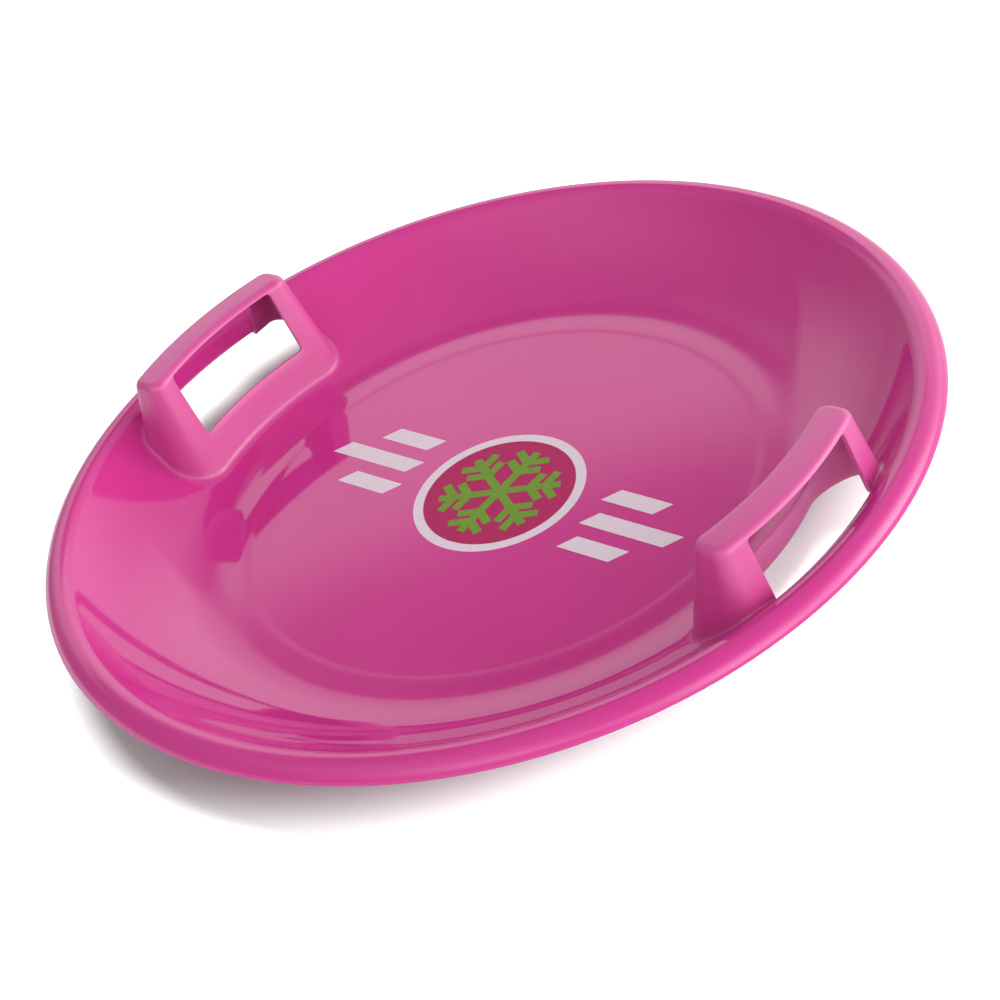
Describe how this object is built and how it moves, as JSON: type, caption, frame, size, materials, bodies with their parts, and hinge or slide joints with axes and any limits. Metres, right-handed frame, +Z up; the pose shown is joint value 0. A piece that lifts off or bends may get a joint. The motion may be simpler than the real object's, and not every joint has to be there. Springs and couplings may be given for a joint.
{
  "type": "saucer sled",
  "caption": "Round pink plastic saucer sled with a rolled rim, moulded-in hollow grab handles and a printed snowflake badge with stripes.",
  "frame": {"origin": "centre of the flat underside, at the level of the ground it rests on", "axes": "+Z up out of the dish, +X through the middle of the right handle, +Y towards the top of the printed badge"},
  "size_m": [0.6, 0.6, 0.0844],
  "materials": {
    "pink_plastic": "gloss",
    "white_ink": "gloss",
    "magenta_ink": "gloss",
    "green_ink": "gloss"
  },
  "bodies": {
    "root": {"floor_pan": "pink_plastic", "flared_wall": "pink_plastic", "rolled_rim": "pink_plastic", "right_handle": "pink_plastic", "left_handle": "pink_plastic", "white_print": "white_ink", "magenta_print": "magenta_ink", "green_print": "green_ink"}
  },
  "joints": []
}
